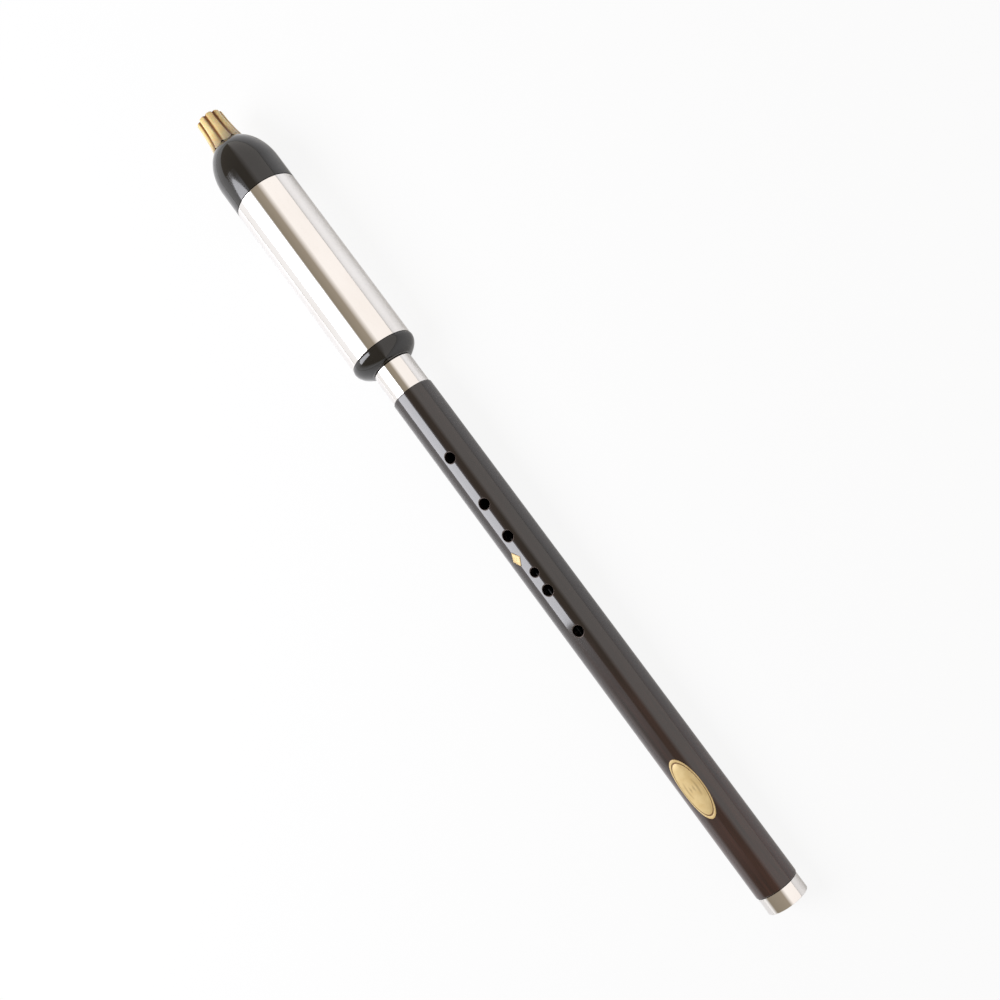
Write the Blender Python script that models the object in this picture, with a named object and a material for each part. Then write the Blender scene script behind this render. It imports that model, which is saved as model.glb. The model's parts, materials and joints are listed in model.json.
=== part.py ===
"""Vertical bawu: a side-bored wooden pipe with a free reed in a wind chamber.

The bore runs along X, from the foot (low X) to the mouthpiece (high X).
The finger holes face +Z and the thumb hole faces -Z.
The origin is on the bore's axis, halfway along the instrument.
"""
import math

import bmesh
import bpy
from mathutils import Matrix, Vector

MM = 0.001

# Clearances, in millimetres
SEAT_GAP = 0.3        # between glued, pressed or resting pieces
RUN_GAP = 0.15        # radial clearance of the sliding tenon and its packing
SEAL_GAP = 0.1        # radial clearance of a packing ring to the wall it rubs on
FOIL_GAP = 0.12       # under the thin gold pieces on the wood

# Wooden pipe
BODY_R = 11.0
BORE_R = 6.2
BODY_LENGTH = 283.6   # wood seen between the two ferrules
BODY_EDGE = 0.5       # rounding of the wood beside the ferrules

# Ferrules
FERRULE_WALL = 0.5
FOOT_FERRULE_R = 10.6
FOOT_FERRULE_LENGTH = 8.2
FOOT_LIP = 1.0        # thickness of the turned-in end at the foot
JOINT_FERRULE_R = 10.45
JOINT_FERRULE_LENGTH = 16.6
JOINT_LIP = 0.8       # thickness of the turned-in end at the joint
FERRULE_EDGE = 0.35

# Finger holes: distance from the foot and diameter
FINGER_HOLES = ((152.3, 5.6), (175.6, 5.6), (186.0, 4.6), (207.1, 5.6), (225.9, 5.6), (253.4, 5.6))
THUMB_HOLE = (266.0, 5.6)
VENT_HOLES = ((88.0, 5.4), (106.0, 5.4))
HOLE_BEVEL = 0.45     # countersink of every hole in the wood

# Tenon joint between body and head
TENON_R = 7.6
TENON_BORE_R = 6.4
TENON_IN_BODY = 32.7  # length of tenon below the chamber ring
TENON_IN_HEAD = 10.7
TENON_PLAY = 0.6      # room under the tenon's end
SOCKET_WALL = 0.5
WRAP_DEPTH = 0.75
WRAP_WIDTH = 4.0
WRAP_FROM_END = (5.0, 20.0)   # lower edge of each winding above the tenon's end

# Wind chamber
CHAMBER_R = 17.0
SLEEVE_WALL = 0.8
SLEEVE_LENGTH = 100.4
LINER_WALL = 1.3
RING_R = 17.25        # fullest radius of the rounded end piece
RING_FACE_R = 11.5
RING_LENGTH = 8.3
SPIGOT_LENGTH = 13.1  # of the ring and of the cap, inside the liner
SEAL_THICKNESS = 1.0
SEAL_FROM_SHOULDER = 7.5

# Cap
DOME_STRAIGHT = 14.4
DOME_CROWN = 22.5     # height of the whole half ellipse
DOME_HEIGHT = 18.3    # height kept below the mouthpiece's seat
CAP_BORE_R = 12.4
CAP_CROWN = 12.0
CAP_BORE_LENGTH = 25.0

# Mouthpiece
MOUTHPIECE_LENGTH = 19.2
MOUTHPIECE_TIP_R = 7.4
MOUTHPIECE_FLARE = 1.9
FLARE_POWER = 2.2
MOUTHPIECE_BORE_R = 3.2
SHANK_R = 5.0
FLUTES = 9
FLUTE_TURN = 26.5     # degrees from +Z towards +Y to the first flute
FLUTE_DEPTH = 1.15
FLUTE_FOOT_DEPTH = 0.75
FLUTE_WIDTH = 0.17    # half width of a flute as a share of its pitch
FOOT_ARCH = 1.5       # height of the arches between the ribs' feet
COLLAR_R = 8.0
COLLAR_HEIGHT = 1.6
TIP_ROUND = 0.8

# Reed pipe and reed
PIPE_R = 9.0
PIPE_LENGTH = 78.7
PLUG_DEPTH = 9.0
PLUG_HEAD = 2.2
PLUG_HEAD_R = 8.6
SEAT_HEIGHT = 7.3     # the reed seat's flat above the axis
PLATE_LENGTH = 23.0
PLATE_WIDTH = 8.2
PLATE_THICKNESS = 0.5
PLATE_FROM_END = 12.5 # from the pipe's plugged end to the plate
TONGUE_LENGTH = 16.5
TONGUE_WIDTH = 3.6
TONGUE_TIP = 0.5
TONGUE_THICKNESS = 0.35
TONGUE_GAP = 0.2
TONGUE_FROM_EDGE = 3.2
SLOT_WIDTH = 5.0
SLOT_MARGIN = 0.6     # slot past each end of the tongue
WAX_WIDTH = 0.7
WAX_GAP = 0.15

# Gold pieces on the wood: centre from the foot, turn from +Z towards +Y, half length, half arc
OVAL_CENTRE = 65.3
OVAL_TURN = 4.5
OVAL_HALF_LENGTH = 15.8
OVAL_HALF_ARC = 5.75
INLAY_CENTRE = 196.0
INLAY_TURN = 19.0
INLAY_HALF_LENGTH = 4.0
INLAY_HALF_ARC = 2.6
FOIL_THICKNESS = 0.15

# Smoothness of the round pieces
SIDES = 40
INNER_SIDES = 32
SEAL_SIDES = 32
HOLE_SIDES = 14
FLUTE_STEPS = 6
CURVE_STEPS = 6
ROUND_STEPS = 2

# Stations along the bore, measured from the foot's end
BODY_FOOT = FOOT_FERRULE_LENGTH + SEAT_GAP
BODY_TOP = BODY_FOOT + BODY_LENGTH
JOINT_FACE = BODY_TOP + SEAT_GAP + JOINT_FERRULE_LENGTH
RING_FACE = JOINT_FACE + SEAT_GAP
RING_SHOULDER = RING_FACE + RING_LENGTH
SLEEVE_FOOT = RING_SHOULDER + SEAT_GAP
SLEEVE_TOP = SLEEVE_FOOT + SLEEVE_LENGTH
DOME_FOOT = SLEEVE_TOP + SEAT_GAP
DOME_SPRING = DOME_FOOT + DOME_STRAIGHT
DOME_TOP = DOME_SPRING + DOME_HEIGHT
TOTAL_LENGTH = DOME_TOP + MOUTHPIECE_LENGTH
TENON_END = RING_FACE - TENON_IN_BODY
SOCKET_FLOOR = TENON_END - TENON_PLAY
TENON_TOP = RING_FACE + TENON_IN_HEAD
PIPE_FOOT = TENON_TOP + SEAT_GAP
PIPE_TOP = PIPE_FOOT + PIPE_LENGTH
PLATE_TOP = PIPE_TOP - PLATE_FROM_END
PLATE_FOOT = PLATE_TOP - PLATE_LENGTH
TONGUE_ROOT = PLATE_FOOT + TONGUE_FROM_EDGE

# Radii that follow from the fits
FOOT_SPIGOT_R = FOOT_FERRULE_R - FERRULE_WALL - SEAT_GAP
JOINT_SPIGOT_R = JOINT_FERRULE_R - FERRULE_WALL - SEAT_GAP
SOCKET_R = TENON_R + RUN_GAP
SOCKET_OUTER_R = SOCKET_R + SOCKET_WALL
WOOD_SOCKET_R = SOCKET_OUTER_R + SEAT_GAP
GROOVE_R = TENON_R - WRAP_DEPTH
SLEEVE_BORE_R = CHAMBER_R - SLEEVE_WALL
LINER_R = SLEEVE_BORE_R - SEAT_GAP
LINER_BORE_R = LINER_R - LINER_WALL
SPIGOT_R = LINER_BORE_R - SEAT_GAP
SEAL_OUTER_R = LINER_BORE_R - SEAL_GAP
SEAL_GROOVE_R = SEAL_OUTER_R - SEAL_THICKNESS - SEAT_GAP


def along(distance):
    """Place along X, in metres, of a distance from the foot in millimetres."""
    return (distance - TOTAL_LENGTH / 2) * MM


def clear_scene():
    for thing in list(bpy.data.objects):
        bpy.data.objects.remove(thing, do_unlink=True)


def finish(name, colour, roughness, metallic):
    material = bpy.data.materials.new(name)
    material.use_nodes = True
    shader = material.node_tree.nodes["Principled BSDF"]
    shader.inputs["Base Color"].default_value = (*colour, 1.0)
    shader.inputs["Roughness"].default_value = roughness
    shader.inputs["Metallic"].default_value = metallic
    return material


def marker(name, distance, height=0.0, parent=None):
    """Empty on a joint's axis, which the pieces that move there are parented to."""
    empty = bpy.data.objects.new(name, None)
    bpy.context.collection.objects.link(empty)
    empty.empty_display_size = 0.01
    place = Vector((along(distance), 0.0, height * MM))
    attach(empty, parent, place)
    return empty


def attach(thing, parent, place):
    if parent is None:
        thing.location = place
        return
    thing.parent = parent
    thing.location = place - world_place(parent)


def world_place(thing):
    place = thing.location.copy()
    while thing.parent is not None:
        thing = thing.parent
        place += thing.location
    return place


def add_piece(name, bm, material, parent, place):
    """Turn a bmesh into a named, smooth-shaded object."""
    bmesh.ops.remove_doubles(bm, verts=bm.verts, dist=1e-7)
    bmesh.ops.recalc_face_normals(bm, faces=bm.faces)
    mesh = bpy.data.meshes.new(name)
    bm.to_mesh(mesh)
    bm.free()
    mesh.shade_smooth()
    mesh.set_sharp_from_angle(angle=math.radians(32))
    piece = bpy.data.objects.new(name, mesh)
    if material is not None:
        mesh.materials.append(material)
    bpy.context.collection.objects.link(piece)
    attach(piece, parent, place)
    return piece


def rounded(corners):
    """Round each corner (distance, radius, rounding) of a closed outline with an arc."""
    outline = []
    for index, (x, r, rounding) in enumerate(corners):
        here = Vector((x, r))
        if rounding == 0:
            outline.append((x, r))
            continue
        before = Vector(corners[index - 1][:2]) - here
        after = Vector(corners[(index + 1) % len(corners)][:2]) - here
        before.normalize()
        after.normalize()
        half = before.angle(after) / 2
        centre = here + (before + after).normalized() * rounding / math.sin(half)
        start = here + before * rounding / math.tan(half) - centre
        end = here + after * rounding / math.tan(half) - centre
        for step in range(ROUND_STEPS + 1):
            point = centre + start.slerp(end, step / ROUND_STEPS) * rounding
            outline.append((point.x, point.y))
    return outline


def spin_outline(bm, outline, sides, origin):
    """Spin an outline of (distance, radius) round the X axis; ends at radius 0 stay open."""
    verts = [bm.verts.new(((x - origin) * MM, 0.0, r * MM)) for x, r in outline]
    edges = [bm.edges.new(pair) for pair in zip(verts, verts[1:])]
    if outline[0][1] > 0 or outline[-1][1] > 0:
        edges.append(bm.edges.new((verts[-1], verts[0])))
    bmesh.ops.spin(bm, geom=verts + edges, cent=(0, 0, 0), axis=(1, 0, 0),
                   angle=2 * math.pi, steps=sides, use_merge=True)


def turned(name, outline, material, sides, parent=None):
    """Turned piece on the bore's axis, with its origin at its foot end."""
    foot = min(x for x, r in outline)
    bm = bmesh.new()
    spin_outline(bm, outline, sides, foot)
    return add_piece(name, bm, material, parent, Vector((along(foot), 0, 0)))


def tube(name, low, high, inner, outer, material, sides, parent=None, edge=0.0):
    corners = [(low, inner, 0), (high, inner, 0), (high, outer, edge), (low, outer, edge)]
    return turned(name, rounded(corners), material, sides, parent)


def block(bm, low, high):
    """Closed box between two corners, in metres."""
    size = high - low
    bmesh.ops.create_cube(bm, size=1.0, matrix=Matrix.Translation((low + high) / 2)
                          @ Matrix.Diagonal((*size, 1.0)))


def cut(piece, cutter):
    """Cut one mesh out of a piece; the cutter stays as a wire guide."""
    cutter.hide_render = True
    cutter.display_type = 'WIRE'
    boolean = piece.modifiers.new("cut", 'BOOLEAN')
    boolean.operation = 'DIFFERENCE'
    boolean.solver = 'EXACT'
    boolean.object = cutter


def half_ellipse(centre, length, radius, start, end, steps):
    """Points (distance, radius) of an ellipse round the axis, between two distances."""
    first = math.asin((start - centre) / length)
    last = math.asin((end - centre) / length)
    points = []
    for step in range(steps + 1):
        angle = first + (last - first) * step / steps
        points.append((centre + length * math.sin(angle), radius * math.cos(angle)))
    return points


def bezier(points, steps):
    """Cubic curve through the first and last of four points."""
    a, b, c, d = (Vector(point) for point in points)
    outline = []
    for step in range(steps + 1):
        t = step / steps
        s = 1 - t
        point = a * s ** 3 + b * 3 * s * s * t + c * 3 * s * t * t + d * t ** 3
        outline.append((point.x, point.y))
    return outline


def hole_cutter(bm, distance, diameter, turn):
    """Round cutter through one wall, widened at the surface by a countersink."""
    radius = diameter / 2
    past = 1.5
    outline = [(0.5 * BORE_R, 0.0), (0.5 * BORE_R, radius), (BODY_R - HOLE_BEVEL, radius),
               (BODY_R + past, radius + HOLE_BEVEL + past), (BODY_R + past, 0.0)]
    part = bmesh.new()
    spin_outline(part, outline, HOLE_SIDES, 0.0)
    stand_up = Matrix.Rotation(-math.pi / 2, 4, 'Y')
    roll = Matrix.Rotation(math.radians(-turn), 4, 'X')
    shift = Matrix.Translation((along(distance) - along(0), 0, 0))
    bmesh.ops.transform(part, matrix=shift @ roll @ stand_up, verts=part.verts)
    mesh = bpy.data.meshes.new("hole")
    part.to_mesh(mesh)
    part.free()
    bm.from_mesh(mesh)
    bpy.data.meshes.remove(mesh)


def make_body_tube(wood):
    spigot_end = FOOT_LIP + SEAT_GAP
    top = JOINT_FACE - JOINT_LIP - SEAT_GAP
    corners = [(spigot_end, BORE_R, 0), (SOCKET_FLOOR, BORE_R, 0),
               (SOCKET_FLOOR, WOOD_SOCKET_R, 0), (top, WOOD_SOCKET_R, 0),
               (top, JOINT_SPIGOT_R, 0), (BODY_TOP, JOINT_SPIGOT_R, 0),
               (BODY_TOP, BODY_R, BODY_EDGE), (BODY_FOOT, BODY_R, BODY_EDGE),
               (BODY_FOOT, FOOT_SPIGOT_R, 0), (spigot_end, FOOT_SPIGOT_R, 0)]
    body = turned("body_tube", rounded(corners), wood, SIDES)
    bm = bmesh.new()
    for distance, diameter in FINGER_HOLES:
        hole_cutter(bm, distance, diameter, 0)
    for distance, diameter in (THUMB_HOLE, *VENT_HOLES):
        hole_cutter(bm, distance, diameter, 180)
    cutter = add_piece("hole_cutters", bm, None, None, Vector((along(0), 0, 0)))
    cut(body, cutter)
    return body


def make_foot_ferrule(nickel):
    inner = FOOT_FERRULE_R - FERRULE_WALL
    hole = BORE_R + SEAT_GAP
    corners = [(0, hole, 0), (FOOT_LIP, hole, 0), (FOOT_LIP, inner, 0),
               (FOOT_FERRULE_LENGTH, inner, 0), (FOOT_FERRULE_LENGTH, FOOT_FERRULE_R, 0),
               (0, FOOT_FERRULE_R, FERRULE_EDGE)]
    return turned("foot_ferrule", rounded(corners), nickel, SIDES)


def make_joint_ferrule(nickel):
    inner = JOINT_FERRULE_R - FERRULE_WALL
    lip = JOINT_FACE - JOINT_LIP
    foot = BODY_TOP + SEAT_GAP
    corners = [(foot, inner, 0), (lip, inner, 0), (lip, WOOD_SOCKET_R, 0),
               (JOINT_FACE, WOOD_SOCKET_R, 0), (JOINT_FACE, JOINT_FERRULE_R, FERRULE_EDGE),
               (foot, JOINT_FERRULE_R, 0)]
    return turned("joint_ferrule", rounded(corners), nickel, SIDES)


def make_joint_socket(nickel):
    return tube("joint_socket", SOCKET_FLOOR + SEAT_GAP, JOINT_FACE, SOCKET_R, SOCKET_OUTER_R,
                nickel, INNER_SIDES)


def wrap_stations():
    return [TENON_END + offset for offset in WRAP_FROM_END]


def make_tenon(nickel, parent):
    corners = [(TENON_TOP, TENON_BORE_R, 0), (TENON_TOP, TENON_R, 0)]
    for low in reversed(wrap_stations()):
        high = low + WRAP_WIDTH
        corners += [(high, TENON_R, 0), (high, GROOVE_R, 0), (low, GROOVE_R, 0), (low, TENON_R, 0)]
    corners += [(TENON_END, TENON_R, 0.3), (TENON_END, TENON_BORE_R, 0)]
    return turned("joint_tenon", rounded(corners), nickel, INNER_SIDES, parent)


def make_tenon_wraps(thread, parent):
    names = ("tenon_wrap_lower", "tenon_wrap_upper")
    for name, low in zip(names, wrap_stations()):
        tube(name, low + RUN_GAP, low + WRAP_WIDTH - RUN_GAP, GROOVE_R + RUN_GAP,
             SOCKET_R - SEAL_GAP, thread, INNER_SIDES, parent)


def seal_groove(shoulder, away):
    """Corners of the groove that holds a packing ring, read away from the shoulder."""
    near = shoulder + away * SEAL_FROM_SHOULDER
    far = near + away * (SEAL_THICKNESS + 2 * SEAT_GAP)
    return [(near, SPIGOT_R, 0), (near, SEAL_GROOVE_R, 0), (far, SEAL_GROOVE_R, 0), (far, SPIGOT_R, 0)]


def make_seal(name, shoulder, away, rubber, parent):
    middle = shoulder + away * (SEAL_FROM_SHOULDER + SEAT_GAP + SEAL_THICKNESS / 2)
    thick = SEAL_THICKNESS / 2
    outline = []
    for step in range(8):
        angle = math.pi / 8 + step * math.pi / 4
        outline.append((middle + thick * math.cos(angle),
                        SEAL_OUTER_R - thick + thick * math.sin(angle)))
    return turned(name, outline, rubber, SEAL_SIDES, parent)


def make_chamber_ring(black, parent):
    end = RING_SHOULDER + SPIGOT_LENGTH
    pipe_seat = PIPE_FOOT - SEAT_GAP
    crest = RING_SHOULDER - 1.0
    swell = bezier([(RING_FACE, RING_FACE_R), (RING_FACE + 1.9, RING_FACE_R + 3.1),
                    (crest - 3.2, RING_R - 0.1), (crest, RING_R)], CURVE_STEPS)
    outline = [(RING_FACE, TENON_R + SEAT_GAP)]
    outline += swell
    outline += [(RING_SHOULDER, CHAMBER_R), (RING_SHOULDER, SPIGOT_R)]
    outline += [(x, r) for x, r, edge in seal_groove(RING_SHOULDER, 1)]
    outline += [(end, SPIGOT_R), (end, PIPE_R + SEAT_GAP), (pipe_seat, PIPE_R + SEAT_GAP),
                (pipe_seat, TENON_R + SEAT_GAP)]
    return turned("chamber_ring", outline, black, SIDES, parent)


def make_dome_cap(black, parent):
    end = DOME_FOOT - SPIGOT_LENGTH
    spring = end + CAP_BORE_LENGTH
    hole = SHANK_R + SEAT_GAP
    hole_foot = spring + CAP_CROWN * math.sqrt(1 - (hole / CAP_BORE_R) ** 2)
    outline = half_ellipse(DOME_SPRING, DOME_CROWN, CHAMBER_R, DOME_SPRING, DOME_TOP, CURVE_STEPS)
    outline.reverse()
    outline += [(DOME_FOOT, CHAMBER_R), (DOME_FOOT, SPIGOT_R)]
    outline += [(x, r) for x, r, edge in seal_groove(DOME_FOOT, -1)]
    outline += [(end, SPIGOT_R), (end, CAP_BORE_R)]
    outline += half_ellipse(spring, CAP_CROWN, CAP_BORE_R, spring, hole_foot, CURVE_STEPS // 2)
    outline += [(DOME_TOP, hole)]
    return turned("dome_cap", outline, black, SIDES, parent)


def make_chamber_tubes(nickel, black, parent):
    tube("chamber_sleeve", SLEEVE_FOOT, SLEEVE_TOP, SLEEVE_BORE_R, CHAMBER_R, nickel, SIDES, parent,
         edge=0.25)
    tube("chamber_liner", SLEEVE_FOOT, SLEEVE_TOP, LINER_BORE_R, LINER_R, black, INNER_SIDES, parent)


def flute(angle):
    """Share of the flute's depth at an angle from +Z towards +Y, in degrees."""
    pitch = 360 / FLUTES
    place = ((angle - FLUTE_TURN) / pitch + 0.5) % 1.0 - 0.5
    return math.exp(-(place / FLUTE_WIDTH) ** 2)


def mouthpiece_outline(angle):
    """Outline of the mouthpiece at one angle, from its tip's bore down to its shank."""
    share = flute(angle)
    rib_foot = DOME_TOP + SEAT_GAP
    skirt = rib_foot + COLLAR_HEIGHT + SEAT_GAP
    hole_foot = DOME_FOOT - SPIGOT_LENGTH + CAP_BORE_LENGTH + CAP_CROWN
    low = rib_foot + (FOOT_ARCH * share)
    outline = [(TOTAL_LENGTH, MOUTHPIECE_BORE_R + 0.5)]
    for step in range(CURVE_STEPS + 1):
        down = (step / CURVE_STEPS)
        x = TOTAL_LENGTH - TIP_ROUND + (low - TOTAL_LENGTH + TIP_ROUND) * down
        flare = ((TOTAL_LENGTH - x) / (TOTAL_LENGTH - rib_foot)) ** FLARE_POWER
        depth = FLUTE_DEPTH + (FLUTE_FOOT_DEPTH - FLUTE_DEPTH) * down
        radius = MOUTHPIECE_TIP_R + MOUTHPIECE_FLARE * flare - depth * share
        if step == 0:
            outline.append((TOTAL_LENGTH, radius - TIP_ROUND))
            outline.append((TOTAL_LENGTH - 0.3 * TIP_ROUND, radius - 0.3 * TIP_ROUND))
        outline.append((x, radius))
    bell = COLLAR_R + SEAT_GAP
    outline += [(low, bell), (skirt, bell), (skirt, SHANK_R), (hole_foot, SHANK_R),
                (hole_foot, MOUTHPIECE_BORE_R), (TOTAL_LENGTH - 0.5, MOUTHPIECE_BORE_R)]
    return outline


def make_mouthpiece(horn, parent):
    """Fluted mouthpiece, lofted through one outline for each angle."""
    foot = DOME_FOOT
    count = FLUTES * FLUTE_STEPS
    bm = bmesh.new()
    rings = []
    for step in range(count):
        angle = FLUTE_TURN + 360 * step / count
        turn = math.radians(angle)
        ring = [bm.verts.new(((x - foot) * MM, r * math.sin(turn) * MM, r * math.cos(turn) * MM))
                for x, r in mouthpiece_outline(angle)]
        rings.append(ring)
    for here, there in zip(rings, rings[1:] + rings[:1]):
        for index in range(len(here)):
            bm.faces.new((here[index - 1], here[index], there[index], there[index - 1]))
    return add_piece("mouthpiece", bm, horn, parent, Vector((along(foot), 0, 0)))


def make_collar(black, parent):
    low = DOME_TOP + SEAT_GAP
    return tube("mouthpiece_collar", low, low + COLLAR_HEIGHT, SHANK_R + SEAT_GAP, COLLAR_R, black,
                INNER_SIDES, parent)


def make_reed_pipe(bamboo, parent):
    """Pipe with a flat seat for the reed plate and a slot under its tongue."""
    pipe = tube("reed_pipe", PIPE_FOOT, PIPE_TOP, BORE_R, PIPE_R, bamboo, INNER_SIDES, parent, edge=0.5)
    wax = WAX_WIDTH + 2 * SEAT_GAP
    bm = bmesh.new()
    block(bm, Vector((along(PLATE_FOOT - wax), -PIPE_R * MM, SEAT_HEIGHT * MM)),
          Vector((along(PLATE_TOP + wax), PIPE_R * MM, (PIPE_R + 1) * MM)))
    seat = add_piece("reed_seat_cutter", bm, None, None, Vector())
    cut(pipe, seat)
    bm = bmesh.new()
    tip = TONGUE_ROOT + TONGUE_LENGTH
    block(bm, Vector((along(TONGUE_ROOT - SLOT_MARGIN), -SLOT_WIDTH / 2 * MM, 0.5 * BORE_R * MM)),
          Vector((along(tip + SLOT_MARGIN), SLOT_WIDTH / 2 * MM, (SEAT_HEIGHT + 1) * MM)))
    slot = add_piece("reed_slot_cutter", bm, None, None, Vector())
    cut(pipe, slot)
    return pipe


def make_plug(cork, parent):
    stem = BORE_R - SEAT_GAP
    head = PIPE_TOP + SEAT_GAP
    outline = [(PIPE_TOP - PLUG_DEPTH, 0.0), (PIPE_TOP - PLUG_DEPTH, stem), (head, stem),
               (head, PLUG_HEAD_R), (head + PLUG_HEAD - 0.6, PLUG_HEAD_R),
               (head + PLUG_HEAD, PLUG_HEAD_R - 0.6), (head + PLUG_HEAD, 0.0)]
    return turned("reed_pipe_plug", outline, cork, INNER_SIDES, parent)


def plate_middle():
    return SEAT_HEIGHT + SEAT_GAP + PLATE_THICKNESS / 2


def tongue_outline(grow):
    """Pointed outline (distance from the root, half width), grown by a clearance."""
    half = TONGUE_WIDTH / 2 + grow
    tip = TONGUE_TIP / 2 + grow
    return [(-grow, -half), (TONGUE_LENGTH + grow, -tip), (TONGUE_LENGTH + grow, tip), (-grow, half)]


def prism(bm, outline, low, high):
    """Upright prism over an outline in the XY plane."""
    base = [bm.verts.new((x * MM, y * MM, low * MM)) for x, y in outline]
    face = bm.faces.new(base)
    raised = bmesh.ops.extrude_face_region(bm, geom=[face])
    verts = [item for item in raised["geom"] if isinstance(item, bmesh.types.BMVert)]
    bmesh.ops.translate(bm, verts=verts, vec=(0, 0, (high - low) * MM))


def make_reed(brass, head_axis, tongue_axis):
    """Brass plate with a pointed window, and the tongue that swings in it."""
    bm = bmesh.new()
    half = Vector((PLATE_LENGTH / 2, PLATE_WIDTH / 2, PLATE_THICKNESS / 2)) * MM
    block(bm, -half, half)
    place = Vector((along((PLATE_FOOT + PLATE_TOP) / 2), 0, plate_middle() * MM))
    plate = add_piece("reed_plate", bm, brass, head_axis, place)
    root = Vector((along(TONGUE_ROOT), 0, plate_middle() * MM))
    bm = bmesh.new()
    prism(bm, tongue_outline(TONGUE_GAP), -PLATE_THICKNESS, PLATE_THICKNESS)
    window = add_piece("reed_window_cutter", bm, None, None, root)
    cut(plate, window)
    bm = bmesh.new()
    prism(bm, tongue_outline(0.0), -TONGUE_THICKNESS / 2, TONGUE_THICKNESS / 2)
    add_piece("reed_tongue", bm, brass, tongue_axis, root)


def make_wax(wax, parent):
    """Rim of wax round the plate's edge."""
    inner = Vector((PLATE_LENGTH / 2 + SEAT_GAP, PLATE_WIDTH / 2 + SEAT_GAP))
    outer = inner + Vector((WAX_WIDTH, WAX_WIDTH))
    low = SEAT_HEIGHT + WAX_GAP
    high = plate_middle() + PLATE_THICKNESS / 2
    corners = ((-1, -1), (1, -1), (1, 1), (-1, 1))
    bm = bmesh.new()
    loops = []
    for size, height in ((inner, low), (outer, low), (outer, high), (inner, high)):
        loops.append([bm.verts.new((sx * size.x * MM, sy * size.y * MM, height * MM))
                      for sx, sy in corners])
    for here, there in zip(loops, loops[1:] + loops[:1]):
        for index in range(len(corners)):
            bm.faces.new((here[index - 1], here[index], there[index], there[index - 1]))
    middle = (PLATE_FOOT + PLATE_TOP) / 2
    return add_piece("reed_wax", bm, wax, parent, Vector((along(middle), 0, 0)))


def make_foil(name, centre, turn, half_length, half_arc, power, points, gold):
    """Thin gold piece bent round the wood; power 1 gives a lozenge, 2 an oval."""
    rings = 3
    low_r = BODY_R + FOIL_GAP
    bm = bmesh.new()
    sheets = []
    for radius in (low_r, low_r + FOIL_THICKNESS):
        loops = [[bm.verts.new((0, math.sin(math.radians(turn)) * radius * MM,
                                math.cos(math.radians(turn)) * radius * MM))]]
        for ring in range(1, rings + 1):
            loop = []
            for step in range(points):
                swing = 2 * math.pi * step / points
                across, up = math.cos(swing), math.sin(swing)
                reach = ring / rings
                x = half_length * reach * math.copysign(abs(across) ** (2 / power), across)
                arc = half_arc * reach * math.copysign(abs(up) ** (2 / power), up)
                angle = math.radians(turn) + arc / BODY_R
                loop.append(bm.verts.new((x * MM, math.sin(angle) * radius * MM,
                                          math.cos(angle) * radius * MM)))
            loops.append(loop)
        sheets.append(loops)
    for loops in sheets:
        for index in range(points):
            bm.faces.new((loops[0][0], loops[1][index - 1], loops[1][index]))
            for inner, outer in zip(loops[1:], loops[2:]):
                bm.faces.new((inner[index - 1], outer[index - 1], outer[index], inner[index]))
    for index in range(points):
        low, high = sheets[0][-1], sheets[1][-1]
        bm.faces.new((low[index - 1], low[index], high[index], high[index - 1]))
    return add_piece(name, bm, gold, None, Vector((along(centre), 0, 0)))


def build():
    clear_scene()
    nickel = finish("nickel_silver", (0.86, 0.82, 0.77), 0.14, 1.0)
    wood = finish("dark_wood", (0.045, 0.022, 0.018), 0.25, 0.0)
    black = finish("black_resin", (0.012, 0.011, 0.010), 0.12, 0.0)
    horn = finish("pale_horn", (0.80, 0.58, 0.24), 0.30, 0.0)
    brass = finish("reed_brass", (0.78, 0.57, 0.24), 0.28, 1.0)
    bamboo = finish("reed_pipe_wood", (0.55, 0.36, 0.17), 0.50, 0.0)
    cork = finish("stopper_cork", (0.60, 0.42, 0.26), 0.85, 0.0)
    thread = finish("packing_thread", (0.75, 0.70, 0.60), 0.90, 0.0)
    rubber = finish("seal_rubber", (0.03, 0.03, 0.03), 0.60, 0.0)
    wax = finish("seal_wax", (0.35, 0.12, 0.05), 0.45, 0.0)
    gold = finish("gold_foil", (0.86, 0.62, 0.22), 0.32, 0.6)

    make_foot_ferrule(nickel)
    make_body_tube(wood)
    make_joint_ferrule(nickel)
    make_joint_socket(nickel)
    make_foil("oval_plate", OVAL_CENTRE, OVAL_TURN, OVAL_HALF_LENGTH, OVAL_HALF_ARC, 2, 32, gold)
    make_foil("key_inlay", INLAY_CENTRE, INLAY_TURN, INLAY_HALF_LENGTH, INLAY_HALF_ARC, 1, 16, gold)

    wrap_axis = marker("tenon_wrap_axis", TENON_END)
    head_axis = marker("head_axis", RING_FACE, parent=wrap_axis)
    seal_axis = marker("cap_seal_axis", DOME_FOOT, parent=head_axis)
    cap_axis = marker("cap_axis", DOME_FOOT, parent=seal_axis)
    tongue_axis = marker("tongue_axis", TONGUE_ROOT, plate_middle(), parent=head_axis)

    make_tenon_wraps(thread, wrap_axis)
    make_tenon(nickel, head_axis)
    make_chamber_ring(black, head_axis)
    make_seal("ring_seal", RING_SHOULDER, 1, rubber, head_axis)
    make_chamber_tubes(nickel, black, head_axis)
    make_reed_pipe(bamboo, head_axis)
    make_plug(cork, head_axis)
    make_reed(brass, head_axis, tongue_axis)
    make_wax(wax, head_axis)
    make_seal("cap_seal", DOME_FOOT, -1, rubber, seal_axis)
    make_dome_cap(black, cap_axis)
    make_collar(black, cap_axis)
    make_mouthpiece(horn, cap_axis)


build()
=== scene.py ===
import json
import math

import bmesh
import bpy
from mathutils import Matrix, Vector

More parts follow.
